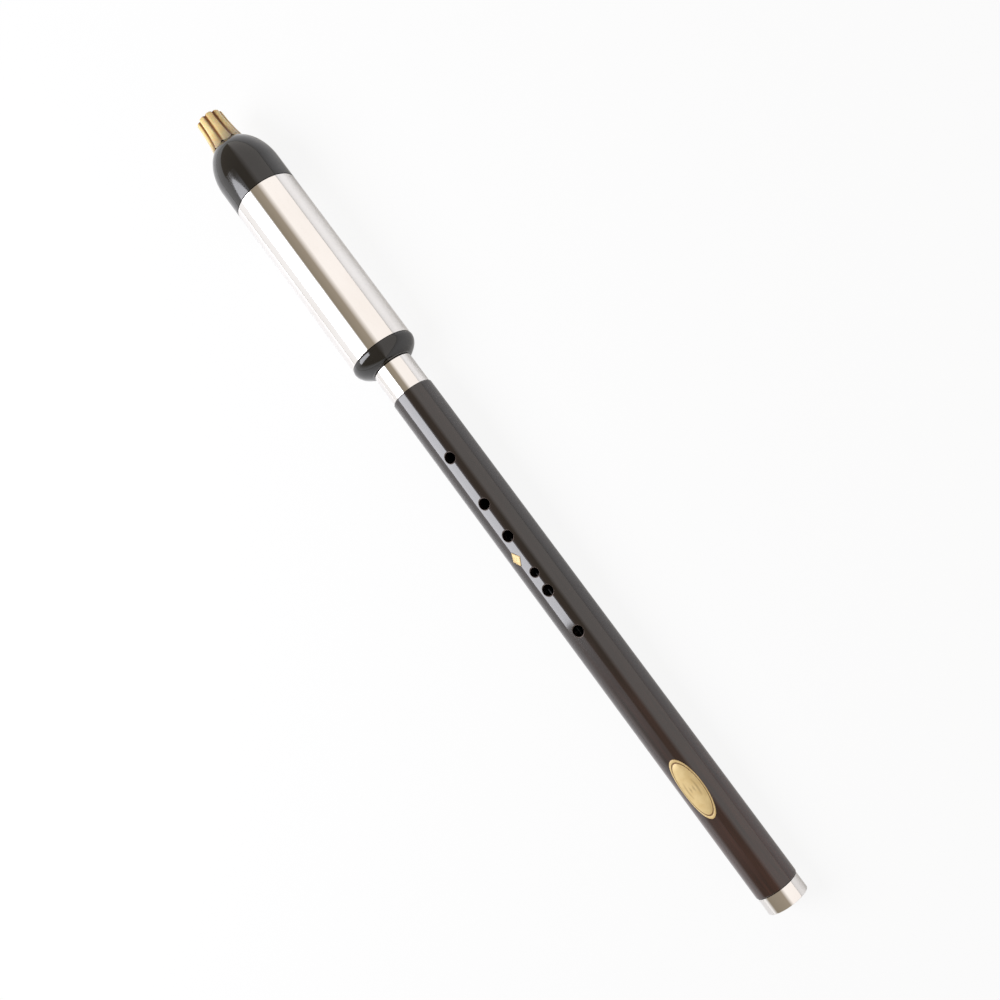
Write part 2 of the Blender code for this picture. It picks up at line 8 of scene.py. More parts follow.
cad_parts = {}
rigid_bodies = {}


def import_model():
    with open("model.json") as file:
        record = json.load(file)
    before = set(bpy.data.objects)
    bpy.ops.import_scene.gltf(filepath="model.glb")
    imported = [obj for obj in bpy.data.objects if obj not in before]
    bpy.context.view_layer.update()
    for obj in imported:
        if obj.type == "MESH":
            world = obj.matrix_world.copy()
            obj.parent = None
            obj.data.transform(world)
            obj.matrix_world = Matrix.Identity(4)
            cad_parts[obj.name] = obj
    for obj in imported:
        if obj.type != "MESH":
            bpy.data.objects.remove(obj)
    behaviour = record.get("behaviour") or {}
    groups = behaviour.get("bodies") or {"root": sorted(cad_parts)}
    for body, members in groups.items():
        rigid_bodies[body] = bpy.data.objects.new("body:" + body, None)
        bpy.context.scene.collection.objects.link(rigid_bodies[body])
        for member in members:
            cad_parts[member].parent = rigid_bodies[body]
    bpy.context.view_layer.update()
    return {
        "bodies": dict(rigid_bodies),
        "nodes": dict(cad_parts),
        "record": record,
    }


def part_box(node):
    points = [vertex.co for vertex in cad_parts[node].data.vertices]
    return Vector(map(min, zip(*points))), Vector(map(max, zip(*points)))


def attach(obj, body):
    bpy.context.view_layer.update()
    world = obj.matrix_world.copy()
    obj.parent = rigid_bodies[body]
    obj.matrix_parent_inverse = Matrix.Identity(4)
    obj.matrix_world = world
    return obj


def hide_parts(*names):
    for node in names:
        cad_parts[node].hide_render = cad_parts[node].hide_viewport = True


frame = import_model()

MM = 0.001

# Camera, as fitted to the photograph: the pipe runs down to the right and its foot is nearer
LENS = 41.21
SENSOR = 36.0
PICTURE_SLOPE = math.radians(53.41)
TOWARDS_CAMERA = math.radians(8.219)
HOLES_TURNED = math.radians(21.0)
DISTANCE = 547.7 * MM
CLIP_START = 10.0 * MM
AIM_OFFSET = -3.30 * MM
AIM_ALONG = -10.83 * MM

# Smoothness of the pieces made here
SIDES = 144
HOLE_SIDES = 40
ROUND_STEPS = 5
SUPPORT = 0.3
CURVE_STEPS = 28
FLUTE_STEPS = 16
SHARP_FROM = math.radians(32)

# Gap between fixed pieces
SEAT_GAP = 0.3 * MM

# Wooden pipe, with its holes as distances from the foot and diameters
BORE_R = 6.2 * MM
WOOD_EDGE = 0.5 * MM
HOLE_BEVEL = 0.45 * MM
FINGER_HOLES = ((152.3, 5.6), (175.6, 5.6), (186.0, 4.6), (207.1, 5.6), (225.9, 5.6), (253.4, 5.6))
BACK_HOLES = ((266.0, 5.6), (88.0, 5.4), (106.0, 5.4))
CUTTER_REACH = 1.5 * MM

# Rubbed rim of a hole: its reach in bevels, and how squarely its faces look outwards
RIM_REACH = 1.5
RIM_FACING = (0.3, 0.92)

# Wood's change from red at the foot to black, in metres along the bore
REDDER_OVER = 0.29
GRAIN_DRIFT = 0.05

# Ferrules and wide sleeve
FERRULE_WALL = 0.5 * MM
FERRULE_EDGE = 0.35 * MM
FOOT_LIP = 1.0 * MM
JOINT_LIP = 0.8 * MM
SLEEVE_WALL = 0.8 * MM
SLEEVE_EDGE = 0.25 * MM

# Black end piece and cap: their spigots, grooves and bores
SPIGOT_R = 14.3 * MM
GROOVE_R = 13.2 * MM
GROOVE_WIDTH = 1.6 * MM
GROOVE_FROM_SHOULDER = 7.5 * MM
SPIGOT_LENGTH = 13.1 * MM
BLACK_EDGE = 0.3 * MM
RING_FACE_R = 11.5 * MM
RING_CREST = 1.0 * MM
RING_FACE_PULL = (1.9 * MM, 3.1 * MM)
RING_CREST_PULL = (3.2 * MM, 0.1 * MM)
DOME_STRAIGHT = 14.4 * MM
DOME_CROWN = 22.5 * MM
DOME_SUPPORT = 0.3 * MM
CAP_BORE_R = 12.4 * MM
CAP_BORE_LENGTH = 25.0 * MM
CAP_CROWN = 12.0 * MM

# Mouthpiece
TIP_R = 7.4 * MM
FLARE = 1.9 * MM
FLARE_POWER = 2.2
MOUTH_BORE_R = 3.2 * MM
MOUTH_BEVEL = 0.5 * MM
SHANK_R = 5.0 * MM
FLUTES = 9
FLUTE_TURN = 26.5
FLUTE_DEPTH = 1.15 * MM
FLUTE_FOOT_DEPTH = 0.75 * MM
FLUTE_WIDTH = 0.17
FOOT_ARCH = 1.5 * MM
TIP_ROUND = 0.8 * MM

# Gold pieces on the wood: node, name, centre from the foot, turn, half length, half arc,
# outline's power and points; their loops, as shares of the way out and of the thickness
FOIL_LIFT = 0.12 * MM
FOIL_THICKNESS = 0.15 * MM
GOLD_PIECES = (("oval_plate", "gold_oval", 65.3, 4.5, 15.8, 5.75, 2, 96),
               ("key_inlay", "gold_lozenge", 196.0, 19.0, 4.0, 2.6, 1, 48))
GOLD_RINGS = ((0.3, 1.0), (0.6, 1.0), (0.845, 1.0), (0.86, 0.5), (0.895, 0.5), (0.91, 1.0), (0.975, 1.0),
              (1.0, 0.5))

# Studio: floor's reach, its own glow for the camera and in mirrors, and the room's share of light
FLOOR_REACH = 6.0
FLOOR_GLOW = (0.90, 0.30)
ROOM_LIGHT = 0.50


def group(name, inputs, outputs):
    """New shader node group with named sockets; inputs are (name, kind, value)."""
    tree = bpy.data.node_groups.new(name, "ShaderNodeTree")
    for label, kind, value in inputs:
        socket = tree.interface.new_socket(label, in_out="INPUT", socket_type=kind)
        socket.default_value = value
    for label, kind in outputs:
        tree.interface.new_socket(label, in_out="OUTPUT", socket_type=kind)
    return tree, tree.nodes.new("NodeGroupInput"), tree.nodes.new("NodeGroupOutput")


def node(tree, kind, **settings):
    made = tree.nodes.new(kind)
    for label, value in settings.items():
        setattr(made, label, value)
    return made


def noise(tree, vector, scale, detail=4.0, rough=0.55):
    made = node(tree, "ShaderNodeTexNoise")
    made.inputs["Scale"].default_value = scale
    made.inputs["Detail"].default_value = detail
    made.inputs["Roughness"].default_value = rough
    tree.links.new(vector, made.inputs["Vector"])
    return made.outputs["Fac"]


def ramp(tree, value, stops):
    """Colour ramp; stops are (place, grey or colour)."""
    made = node(tree, "ShaderNodeValToRGB")
    elements = made.color_ramp.elements
    while len(elements) < len(stops):
        elements.new(0.5)
    for element, (place, colour) in zip(elements, stops):
        element.position = place
        shade = colour if isinstance(colour, tuple) else (colour, colour, colour)
        element.color = (*shade, 1.0)
    tree.links.new(value, made.inputs["Fac"])
    return made.outputs["Color"]


def math_node(tree, operation, a, b=0.0):
    made = node(tree, "ShaderNodeMath", operation=operation)
    for socket, value in zip(made.inputs, (a, b)):
        if isinstance(value, (int, float)):
            socket.default_value = value
        else:
            tree.links.new(value, socket)
    return made.outputs[0]


def mix_colour(tree, factor, a, b, blend="MIX"):
    made = node(tree, "ShaderNodeMix", data_type="RGBA", blend_type=blend)
    for socket, value in ((made.inputs[0], factor), (made.inputs[6], a), (made.inputs[7], b)):
        if isinstance(value, (int, float)):
            socket.default_value = value
        elif isinstance(value, tuple):
            socket.default_value = (*value, 1.0)
        else:
            tree.links.new(value, socket)
    return made.outputs[2]


def stretched(tree, x, y, z):
    """Object coordinates, scaled differently along and across the bore."""
    place = node(tree, "ShaderNodeTexCoord")
    scaled = node(tree, "ShaderNodeMapping")
    scaled.inputs["Scale"].default_value = (x, y, z)
    tree.links.new(place.outputs["Object"], scaled.inputs["Vector"])
    return scaled.outputs["Vector"]


def make_handling_group():
    """Faint finger marks and dust that a handled surface carries."""
    tree, enter, leave = group("handling marks",
                               [("Roughness", "NodeSocketFloat", 0.2), ("Marks", "NodeSocketFloat", 0.1)],
                               [("Roughness", "NodeSocketFloat")])
    place = stretched(tree, 60.0, 120.0, 120.0)
    smears = ramp(tree, noise(tree, place, 1.0, 5.0, 0.6), [(0.42, 0.0), (0.68, 1.0)])
    specks = ramp(tree, noise(tree, place, 22.0, 2.0, 0.4), [(0.66, 0.0), (0.74, 1.0)])
    both = math_node(tree, "MAXIMUM", smears, math_node(tree, "MULTIPLY", specks, 0.6))
    amount = math_node(tree, "MULTIPLY", both, enter.outputs["Marks"])
    tree.links.new(math_node(tree, "ADD", enter.outputs["Roughness"], amount), leave.inputs["Roughness"])
    return tree


def make_grain_group():
    """Long fibres and pores of wood turned along the bore."""
    tree, enter, leave = group("long grain",
                               [("Dark", "NodeSocketColor", (0, 0, 0, 1)),
                                ("Light", "NodeSocketColor", (1, 1, 1, 1)),
                                ("Fineness", "NodeSocketFloat", 1.0)],
                               [("Color", "NodeSocketColor"), ("Height", "NodeSocketFloat")])
    place = stretched(tree, 22.0, 420.0, 420.0)
    scaled = node(tree, "ShaderNodeVectorMath", operation="SCALE")
    tree.links.new(place, scaled.inputs[0])
    tree.links.new(enter.outputs["Fineness"], scaled.inputs["Scale"])
    streaks = noise(tree, scaled.outputs[0], 1.0, 6.0, 0.62)
    broad = noise(tree, scaled.outputs[0], 0.16, 3.0, 0.5)
    mixed = math_node(tree, "ADD", math_node(tree, "MULTIPLY", streaks, 0.55),
                      math_node(tree, "MULTIPLY", broad, 0.45))
    pores = ramp(tree, noise(tree, scaled.outputs[0], 2.6, 3.0, 0.5), [(0.30, 0.0), (0.40, 1.0)])
    share = ramp(tree, mixed, [(0.36, 0.0), (0.64, 1.0)])
    colour = mix_colour(tree, share, enter.outputs["Dark"], enter.outputs["Light"])
    dark = mix_colour(tree, 0.55, colour, enter.outputs["Dark"])
    tree.links.new(mix_colour(tree, pores, dark, colour), leave.inputs["Color"])
    tree.links.new(pores, leave.inputs["Height"])
    return tree


def make_bore_group():
    """Distance of a point from the bore's axis, and its place along the bore, in metres."""
    tree, enter, leave = group("place round the bore", [],
                               [("Radius", "NodeSocketFloat"), ("Along", "NodeSocketFloat")])
    place = node(tree, "ShaderNodeTexCoord")
    split = node(tree, "ShaderNodeSeparateXYZ")
    tree.links.new(place.outputs["Object"], split.inputs[0])
    y, z = split.outputs["Y"], split.outputs["Z"]
    square = math_node(tree, "ADD", math_node(tree, "MULTIPLY", y, y), math_node(tree, "MULTIPLY", z, z))
    tree.links.new(math_node(tree, "SQRT", square), leave.inputs["Radius"])
    tree.links.new(split.outputs["X"], leave.inputs["Along"])
    return tree


HANDLING = make_handling_group()
GRAIN = make_grain_group()
ROUND_BORE = make_bore_group()


def place_group(tree, shared, **values):
    made = node(tree, "ShaderNodeGroup", node_tree=shared)
    for label, value in values.items():
        socket = made.inputs[label]
        socket.default_value = (*value, 1.0) if isinstance(value, tuple) else value
    return made


def new_material(name, **sockets):
    """Material with one Principled shader; sockets are set on the shader itself."""
    material = bpy.data.materials.new(name)
    material.use_nodes = True
    shader = material.node_tree.nodes["Principled BSDF"]
    for label, value in sockets.items():
        socket = shader.inputs[label.replace("_", " ")]
        socket.default_value = (*value, 1.0) if isinstance(value, tuple) else value
    return material, material.node_tree, shader


def add_bump(tree, shader, height, depth, strength=1.0):
    bump = node(tree, "ShaderNodeBump")
    bump.inputs["Distance"].default_value = depth
    bump.inputs["Strength"].default_value = strength
    tree.links.new(height, bump.inputs["Height"])
    tree.links.new(bump.outputs["Normal"], shader.inputs["Normal"])


def add_handling(tree, shader, roughness, marks):
    handled = place_group(tree, HANDLING, Roughness=roughness, Marks=marks)
    tree.links.new(handled.outputs["Roughness"], shader.inputs["Roughness"])


def nickel_silver():
    material, tree, shader = new_material("polished nickel silver", Metallic=1.0)
    add_handling(tree, shader, 0.035, 0.06)
    place = stretched(tree, 30.0, 60.0, 60.0)
    tarnish = ramp(tree, noise(tree, place, 1.0, 4.0),
                   [(0.35, (0.96, 0.94, 0.92)), (0.75, (0.91, 0.88, 0.85))])
    tree.links.new(tarnish, shader.inputs["Base Color"])
    rings = stretched(tree, 2600.0, 12.0, 12.0)
    add_bump(tree, shader, noise(tree, rings, 1.0, 2.0), 0.000004, 0.3)
    return material


def dark_wood():
    """Near black at the head, with redder wood showing towards the foot."""
    material, tree, shader = new_material("polished dark wood", Coat_Weight=1.0, Coat_Roughness=0.05,
                                          Coat_IOR=1.7, Specular_IOR_Level=0.15)
    black = place_group(tree, GRAIN, Dark=(0.008, 0.005, 0.004), Light=(0.026, 0.014, 0.012), Fineness=1.0)
    red = place_group(tree, GRAIN, Dark=(0.018, 0.007, 0.006), Light=(0.085, 0.030, 0.021), Fineness=1.0)
    place = place_group(tree, ROUND_BORE)
    drift = noise(tree, stretched(tree, 18.0, 60.0, 60.0), 1.0, 2.0)
    wander = math_node(tree, "MULTIPLY", drift, GRAIN_DRIFT)
    shifted = math_node(tree, "ADD", place.outputs["Along"], wander)
    from_foot = math_node(tree, "ADD", shifted, -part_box("body_tube")[0][0])
    wooden = math_node(tree, "MULTIPLY", from_foot, 1 / REDDER_OVER)
    share = ramp(tree, wooden, [(0.10, 1.0), (0.62, 0.0)])
    colour = mix_colour(tree, share, black.outputs["Color"], red.outputs["Color"])
    tree.links.new(colour, shader.inputs["Base Color"])
    add_handling(tree, shader, 0.22, 0.10)
    add_bump(tree, shader, black.outputs["Height"], 0.00002, 0.3)
    return material


def worn_rim():
    """Countersinks that fingers have rubbed paler than the wood around them."""
    material, tree, shader = new_material("rubbed hole rim", Coat_Weight=0.5, Coat_Roughness=0.15)
    grain = place_group(tree, GRAIN, Dark=(0.10, 0.075, 0.065), Light=(0.24, 0.19, 0.17), Fineness=1.6)
    tree.links.new(grain.outputs["Color"], shader.inputs["Base Color"])
    add_handling(tree, shader, 0.3, 0.10)
    return material


def black_resin():
    material, tree, shader = new_material("glossy black resin", Coat_Weight=0.5, Coat_Roughness=0.02)
    place = stretched(tree, 90.0, 90.0, 90.0)
    shade = ramp(tree, noise(tree, place, 1.0),
                 [(0.3, (0.010, 0.009, 0.008)), (0.7, (0.015, 0.0135, 0.012))])
    tree.links.new(shade, shader.inputs["Base Color"])
    add_handling(tree, shader, 0.04, 0.07)
    return material


def pale_horn():
    """Honey horn: pale on the ribs, greyer towards the foot, with painted shade turning the flutes brown.
    """
    material, tree, shader = new_material("fluted horn", Subsurface_Weight=0.12, Coat_Weight=0.3,
                                          Coat_Roughness=0.12, Subsurface_Scale=0.002)
    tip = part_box("mouthpiece")[1][0]
    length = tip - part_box("dome_cap")[1][0]
    place = place_group(tree, ROUND_BORE)
    radius, x = place.outputs["Radius"], place.outputs["Along"]
    from_tip = math_node(tree, "DIVIDE", math_node(tree, "SUBTRACT", tip, x), length)
    flare = math_node(tree, "MULTIPLY", math_node(tree, "POWER", from_tip, FLARE_POWER), FLARE)
    rib = math_node(tree, "ADD", flare, TIP_R)
    depth = math_node(tree, "DIVIDE", math_node(tree, "SUBTRACT", rib, radius), FLUTE_DEPTH)
    honey = ramp(tree, noise(tree, stretched(tree, 60.0, 500.0, 500.0), 1.0, 5.0),
                 [(0.3, (0.86, 0.58, 0.18)), (0.7, (0.96, 0.80, 0.42))])
    # Painted shade: the flutes are coloured dark brown by their depth below the rib.
    painted_flute_shade = ramp(tree, depth, [(0.10, 0.0), (0.62, 1.0)])
    colour = mix_colour(tree, painted_flute_shade, honey, (0.26, 0.10, 0.020))
    grey = ramp(tree, from_tip, [(0.55, 0.0), (0.95, 0.8)])
    # Greyer horn towards the foot, with the painted flute shade carried into it.
    dull = mix_colour(tree, painted_flute_shade, (0.42, 0.33, 0.22), (0.13, 0.07, 0.03))
    tree.links.new(mix_colour(tree, grey, colour, dull), shader.inputs["Base Color"])
    add_handling(tree, shader, 0.26, 0.10)
    return material


def gold_foil():
    """Pressed gold, with painted shade darkening its sunk line inside the border and its sloping edge."""
    material, tree, shader = new_material("gold foil", Metallic=0.12)
    place = stretched(tree, 300.0, 300.0, 300.0)
    tone = ramp(tree, noise(tree, place, 1.0), [(0.3, (0.78, 0.57, 0.25)), (0.7, (0.90, 0.70, 0.35))])
    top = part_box("body_tube")[1][2] + FOIL_LIFT + FOIL_THICKNESS
    radius = place_group(tree, ROUND_BORE).outputs["Radius"]
    # Painted shade: the face is darkened by how far it sits below the top of the foil.
    sunk = math_node(tree, "DIVIDE", math_node(tree, "SUBTRACT", top, radius), FOIL_THICKNESS)
    line = ramp(tree, sunk, [(0.12, 0.0), (0.40, 1.0)])
    tree.links.new(mix_colour(tree, line, tone, (0.24, 0.13, 0.05)), shader.inputs["Base Color"])
    add_handling(tree, shader, 0.36, 0.08)
    add_bump(tree, shader, noise(tree, place, 6.0), 0.00001, 0.3)
    return material


def reed_brass():
    material, tree, shader = new_material("reed brass", Metallic=1.0)
    place = stretched(tree, 3000.0, 120.0, 120.0)
    tone = ramp(tree, noise(tree, place, 1.0), [(0.3, (0.70, 0.50, 0.20)), (0.7, (0.82, 0.62, 0.28))])
    tree.links.new(tone, shader.inputs["Base Color"])
    add_handling(tree, shader, 0.24, 0.12)
    add_bump(tree, shader, noise(tree, place, 1.0), 0.000006, 0.4)
    return material


def reed_pipe_wood():
    material, tree, shader = new_material("oiled reed pipe")
    grain = place_group(tree, GRAIN, Dark=(0.34, 0.20, 0.08), Light=(0.60, 0.42, 0.21), Fineness=1.4)
    tree.links.new(grain.outputs["Color"], shader.inputs["Base Color"])
    add_handling(tree, shader, 0.45, 0.10)
    add_bump(tree, shader, grain.outputs["Height"], 0.00003, 0.4)
    return material


def stopper_cork():
    material, tree, shader = new_material("stopper cork")
    place = stretched(tree, 500.0, 500.0, 500.0)
    cells = noise(tree, place, 1.0, 6.0, 0.7)
    tree.links.new(ramp(tree, cells, [(0.35, (0.30, 0.17, 0.09)), (0.6, (0.62, 0.43, 0.26))]),
                   shader.inputs["Base Color"])
    add_handling(tree, shader, 0.75, 0.10)
    add_bump(tree, shader, cells, 0.0001, 0.6)
    return material


def wound_thread():
    material, tree, shader = new_material("wound thread")
    turns = noise(tree, stretched(tree, 5200.0, 40.0, 40.0), 1.0, 1.0)
    tree.links.new(ramp(tree, turns, [(0.35, (0.45, 0.40, 0.32)), (0.6, (0.78, 0.73, 0.62))]),
                   shader.inputs["Base Color"])
    add_handling(tree, shader, 0.8, 0.08)
    add_bump(tree, shader, turns, 0.00008, 0.8)
    return material


def seal_rubber():
    material, tree, shader = new_material("seal rubber")
    place = stretched(tree, 700.0, 700.0, 700.0)
    tree.links.new(ramp(tree, noise(tree, place, 1.0), [(0.3, 0.015), (0.7, 0.035)]),
                   shader.inputs["Base Color"])
    add_handling(tree, shader, 0.5, 0.12)
    return material


def seal_wax():
    material, tree, shader = new_material("reed wax", Subsurface_Weight=0.1, Subsurface_Scale=0.001)
    place = stretched(tree, 420.0, 420.0, 420.0)
    tone = ramp(tree, noise(tree, place, 1.0), [(0.3, (0.22, 0.06, 0.02)), (0.7, (0.42, 0.15, 0.06))])
    tree.links.new(tone, shader.inputs["Base Color"])
    add_handling(tree, shader, 0.4, 0.1)
    add_bump(tree, shader, noise(tree, place, 2.0), 0.00006, 0.5)
    return material


FINISHES = {"nickel_silver": nickel_silver(), "dark_wood": dark_wood(), "black_resin": black_resin(),
            "pale_horn": pale_horn(), "gold_foil": gold_foil(), "reed_brass": reed_brass(),
            "reed_pipe_wood": reed_pipe_wood(), "stopper_cork": stopper_cork(),
            "packing_thread": wound_thread(), "seal_rubber": seal_rubber(), "seal_wax": seal_wax()}
SLOTS = {part["node"]: part["material_slot"] for part in frame["record"]["subparts"]}
BODY_NAMES = {empty: name for name, empty in frame["bodies"].items()}


def dress_nodes():
    """Give every node of the frame its finish."""
    for name, piece in frame["nodes"].items():
        material = FINISHES[SLOTS[name]]
        if not piece.material_slots:
            piece.data.materials.append(material)
        for held in piece.material_slots:
            held.material = material


def rounded(corners):
    """Round each corner (distance, radius, rounding) of a closed outline with an arc.

    A point close to each end of the arc keeps the long faces beside it shaded as straight ones.
    """
    outline = []
    for index, (x, r, rounding) in enumerate(corners):
        here = Vector((x, r))
        if rounding == 0:
            outline.append((x, r))
            continue
        before = (Vector(corners[index - 1][:2]) - here).normalized()
        after = (Vector(corners[(index + 1) % len(corners)][:2]) - here).normalized()
        half = before.angle(after) / 2
        centre = here + (before + after).normalized() * rounding / math.sin(half)
        tangent = rounding / math.tan(half)
        start = here + before * tangent - centre
        end = here + after * tangent - centre
        outline.append(tuple(here + before * (tangent + rounding * SUPPORT)))
        for step in range(ROUND_STEPS + 1):
            outline.append(tuple(centre + start.slerp(end, step / ROUND_STEPS) * rounding))
        outline.append(tuple(here + after * (tangent + rounding * SUPPORT)))
    return outline


def half_ellipse(centre, length, radius, start, end, steps):
    """Points (distance, radius) of an ellipse round the axis, between two distances."""
    first = math.asin((start - centre) / length)
    last = math.asin((end - centre) / length)
    angles = [first + (last - first) * step / steps for step in range(steps + 1)]
    return [(centre + length * math.sin(angle), radius * math.cos(angle)) for angle in angles]


def bezier(points, steps):
    a, b, c, d = (Vector(point) for point in points)
    outline = []
    for step in range(steps + 1):
        t = step / steps
        s = 1 - t
        point = a * s ** 3 + b * 3 * s * s * t + c * 3 * s * t * t + d * t ** 3
        outline.append((point.x, point.y))
    return outline


def loft(bm, outlines):
    """Closed skin through outlines of (distance, radius), spread evenly round the bore."""
    rings = []
    for index, outline in enumerate(outlines):
        turn = 2 * math.pi * index / len(outlines)
        rings.append([bm.verts.new((x, r * math.sin(turn), r * math.cos(turn))) for x, r in outline])
    for here, there in zip(rings, rings[1:] + rings[:1]):
        for index in range(len(here)):
            bm.faces.new((here[index - 1], here[index], there[index], there[index - 1]))
    bmesh.ops.recalc_face_normals(bm, faces=bm.faces)


def add_piece(name, bm, replaced):
    """Named smooth piece that stands for a node, with the node's body and finish."""
    mesh = bpy.data.meshes.new(name)
    bm.to_mesh(mesh)
    bm.free()
    mesh.shade_smooth()
    mesh.set_sharp_from_angle(angle=SHARP_FROM)
    mesh.materials.append(FINISHES[SLOTS[replaced]])
    piece = bpy.data.objects.new(name, mesh)
    bpy.context.collection.objects.link(piece)
    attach(piece, BODY_NAMES[frame["nodes"][replaced].parent])
    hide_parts(replaced)
    return piece


def turned(name, corners, replaced):
    bm = bmesh.new()
    loft(bm, [rounded(corners)] * SIDES)
    return add_piece(name, bm, replaced)


def plain(points):
    return [(x, r, 0) for x, r in points]


def groove(shoulder, away):
    """Corners of the groove that holds a packing ring, read away from the shoulder."""
    near = shoulder + away * GROOVE_FROM_SHOULDER
    far = near + away * GROOVE_WIDTH
    return plain([(near, SPIGOT_R), (near, GROOVE_R), (far, GROOVE_R), (far, SPIGOT_R)])


def make_sleeve():
    low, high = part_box("chamber_sleeve")
    radius = high[1]
    inner = radius - SLEEVE_WALL
    corners = [(low[0], inner, 0), (high[0], inner, 0), (high[0], radius, SLEEVE_EDGE),
               (low[0], radius, SLEEVE_EDGE)]
    turned("wide_sleeve", corners, "chamber_sleeve")


def make_foot_ferrule():
    low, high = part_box("foot_ferrule")
    radius = high[1]
    inner, hole = radius - FERRULE_WALL, BORE_R + SEAT_GAP
    corners = [(low[0], hole, 0), (low[0] + FOOT_LIP, hole, 0), (low[0] + FOOT_LIP, inner, 0),
               (high[0], inner, 0), (high[0], radius, 0), (low[0], radius, FERRULE_EDGE)]
    turned("foot_band", corners, "foot_ferrule")


def make_joint_ferrule():
    low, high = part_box("joint_ferrule")
    radius = high[1]
    inner, hole = radius - FERRULE_WALL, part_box("joint_socket")[1][1] + SEAT_GAP
    lip = high[0] - JOINT_LIP
    corners = [(low[0], inner, 0), (lip, inner, 0), (lip, hole, 0), (high[0], hole, 0),
               (high[0], radius, FERRULE_EDGE), (low[0], radius, 0)]
    turned("joint_band", corners, "joint_ferrule")


def make_ring():
    """Rounded black end piece with its spigot, read from its lower face."""
    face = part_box("chamber_ring")[0][0]
    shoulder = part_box("chamber_sleeve")[0][0] - SEAT_GAP
    end = shoulder + SPIGOT_LENGTH
    swell_r, sleeve_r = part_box("chamber_ring")[1][1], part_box("chamber_sleeve")[1][1]
    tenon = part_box("joint_tenon")[1]
    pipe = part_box("reed_pipe")
    crest = shoulder - RING_CREST
    swell = bezier([(face, RING_FACE_R), (face + RING_FACE_PULL[0], RING_FACE_R + RING_FACE_PULL[1]),
                    (crest - RING_CREST_PULL[0], swell_r - RING_CREST_PULL[1]), (crest, swell_r)],
                   CURVE_STEPS)
    corners = plain([(face, tenon[1] + SEAT_GAP)] + swell)
    corners += [(shoulder, sleeve_r, 0), (shoulder, SPIGOT_R, 0)]
    corners += groove(shoulder, 1)
    corners += [(end, SPIGOT_R, BLACK_EDGE), (end, pipe[1][1] + SEAT_GAP, 0),
                (pipe[0][0] - SEAT_GAP, pipe[1][1] + SEAT_GAP, 0),
                (pipe[0][0] - SEAT_GAP, tenon[1] + SEAT_GAP, 0)]
    turned("black_end_piece", corners, "chamber_ring")


def make_dome():
    """Domed cap with its spigot and its hollow, read from the crown."""
    end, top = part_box("dome_cap")[0][0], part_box("dome_cap")[1][0]
    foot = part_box("chamber_sleeve")[1][0] + SEAT_GAP
    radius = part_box("dome_cap")[1][1]
    spring = foot + DOME_STRAIGHT
    hollow = end + CAP_BORE_LENGTH
    hole = SHANK_R + SEAT_GAP
    hole_foot = hollow + CAP_CROWN * math.sqrt(1 - (hole / CAP_BORE_R) ** 2)
    crown = half_ellipse(spring, DOME_CROWN, radius, spring, top, CURVE_STEPS)
    crown.reverse()
    corners = plain(crown)
    corners += [(spring - DOME_SUPPORT, radius, 0), (foot, radius, 0), (foot, SPIGOT_R, 0)]
    corners += groove(foot, -1)
    corners += [(end, SPIGOT_R, BLACK_EDGE), (end, CAP_BORE_R, BLACK_EDGE)]
    corners += plain(half_ellipse(hollow, CAP_CROWN, CAP_BORE_R, hollow, hole_foot, CURVE_STEPS // 2))
    corners += [(top, hole, 0)]
    turned("domed_cap", corners, "dome_cap")


def flute(angle):
    """Share of the flute's depth at an angle from +Z towards +Y, in degrees."""
    pitch = 360 / FLUTES
    place = ((angle - FLUTE_TURN) / pitch + 0.5) % 1.0 - 0.5
    return math.exp(-(place / FLUTE_WIDTH) ** 2)


def mouthpiece_outline(angle, foot, top, tip, skirt):
    """Outline of the mouthpiece at one angle, from its tip's bore down to its shank."""
    share = flute(angle)
    low = foot + FOOT_ARCH * share
    outline = [(tip, MOUTH_BORE_R + MOUTH_BEVEL)]
    start = tip - TIP_ROUND
    for step in range(CURVE_STEPS + 1):
        down = step / CURVE_STEPS
        x = start + (low - start) * down
        flare = ((tip - x) / (tip - foot)) ** FLARE_POWER
        depth = FLUTE_DEPTH + (FLUTE_FOOT_DEPTH - FLUTE_DEPTH) * down
        radius = TIP_R + FLARE * flare - depth * share
        if step == 0:
            for bend in range(ROUND_STEPS):
                swing = math.pi / 2 * bend / ROUND_STEPS
                outline.append((start + TIP_ROUND * math.cos(swing),
                                radius - TIP_ROUND * (1 - math.sin(swing))))
        outline.append((x, radius))
    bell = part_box("mouthpiece_collar")[1][1] + SEAT_GAP
    outline += [(low, bell), (skirt, bell), (skirt, SHANK_R), (top, SHANK_R), (top, MOUTH_BORE_R),
                (tip - MOUTH_BEVEL, MOUTH_BORE_R)]
    return outline


def make_mouthpiece():
    """Fluted mouthpiece, lofted through one outline for each angle."""
    shank_foot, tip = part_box("mouthpiece")[0][0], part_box("mouthpiece")[1][0]
    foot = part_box("dome_cap")[1][0] + SEAT_GAP
    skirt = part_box("mouthpiece_collar")[1][0] + SEAT_GAP
    count = FLUTES * FLUTE_STEPS
    bm = bmesh.new()
    angles = [360 * step / count for step in range(count)]
    loft(bm, [mouthpiece_outline(angle, foot, shank_foot, tip, skirt) for angle in angles])
    add_piece("fluted_mouthpiece", bm, "mouthpiece")


